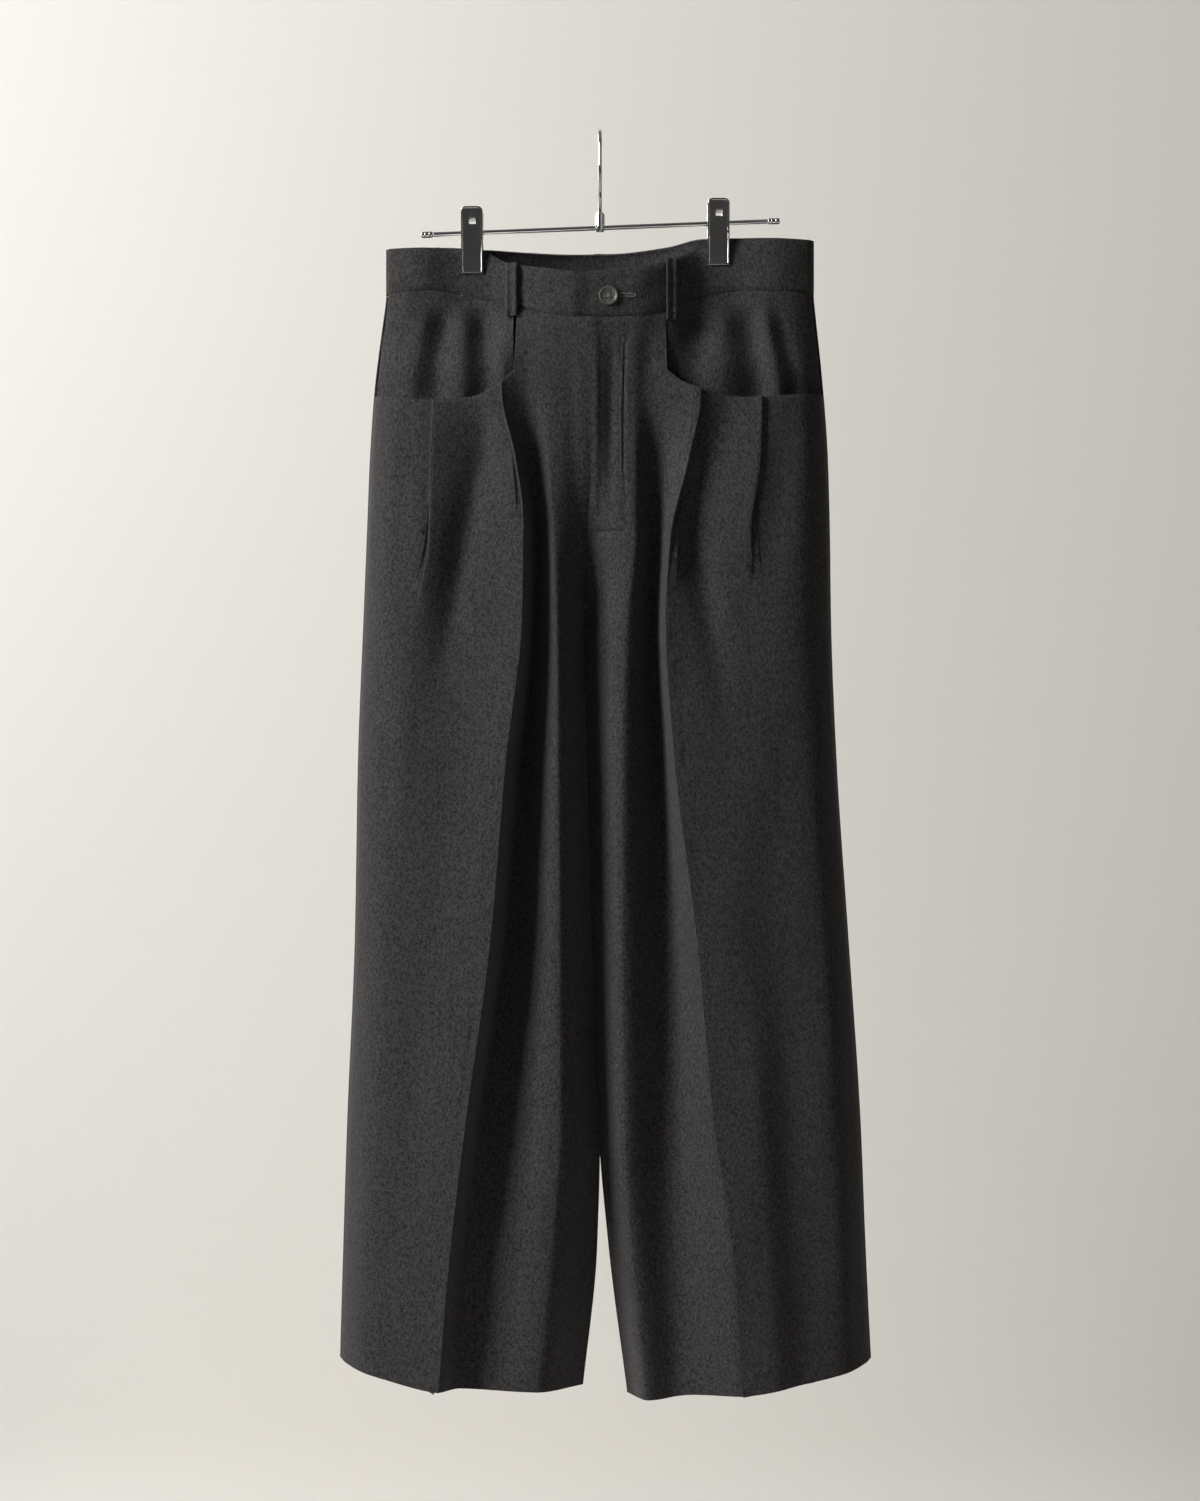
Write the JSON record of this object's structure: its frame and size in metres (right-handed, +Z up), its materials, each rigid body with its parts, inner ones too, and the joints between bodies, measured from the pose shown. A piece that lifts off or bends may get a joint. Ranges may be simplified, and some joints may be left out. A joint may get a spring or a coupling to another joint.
{
  "type": "pleated wide-leg trousers on a clip hanger",
  "caption": "Dark brushed wool wide-leg trousers with scooped hip pockets, deep pleats and pressed creases, hung by the waistband from a chrome clip hanger.",
  "frame": {"origin": "inside top of the hanger hook's crown, where a rail carries it", "axes": "+Z up, -Y out of the front of the trousers, +X to the wearer's left"},
  "size_m": [0.4822, 0.1109, 1.1402],
  "materials": {
    "wool": "brushed melton wool, matt, slightly fuzzy",
    "chrome": "polished",
    "horn": "dull horn sheen"
  },
  "bodies": {
    "root": {"front_right": "wool", "back_right": "wool", "pocket_right": "wool", "front_left": "wool", "back_left": "wool", "pocket_left": "wool", "fly_shield": "wool", "waistband_right": "wool", "waistband_left": "wool", "waistband_back": "wool", "loop_front_right": "wool", "loop_front_left": "wool", "loop_side_right": "wool", "loop_side_left": "wool", "loop_back": "wool", "button": "horn", "hanger_hook": "chrome", "hanger_ferrule": "chrome", "hanger_bar": "chrome", "bar_end_right": "chrome", "bar_end_left": "chrome", "clip_right_front": "chrome", "clip_right_back": "chrome", "clip_right_spring": "chrome", "clip_left_front": "chrome", "clip_left_back": "chrome", "clip_left_spring": "chrome"}
  },
  "joints": []
}
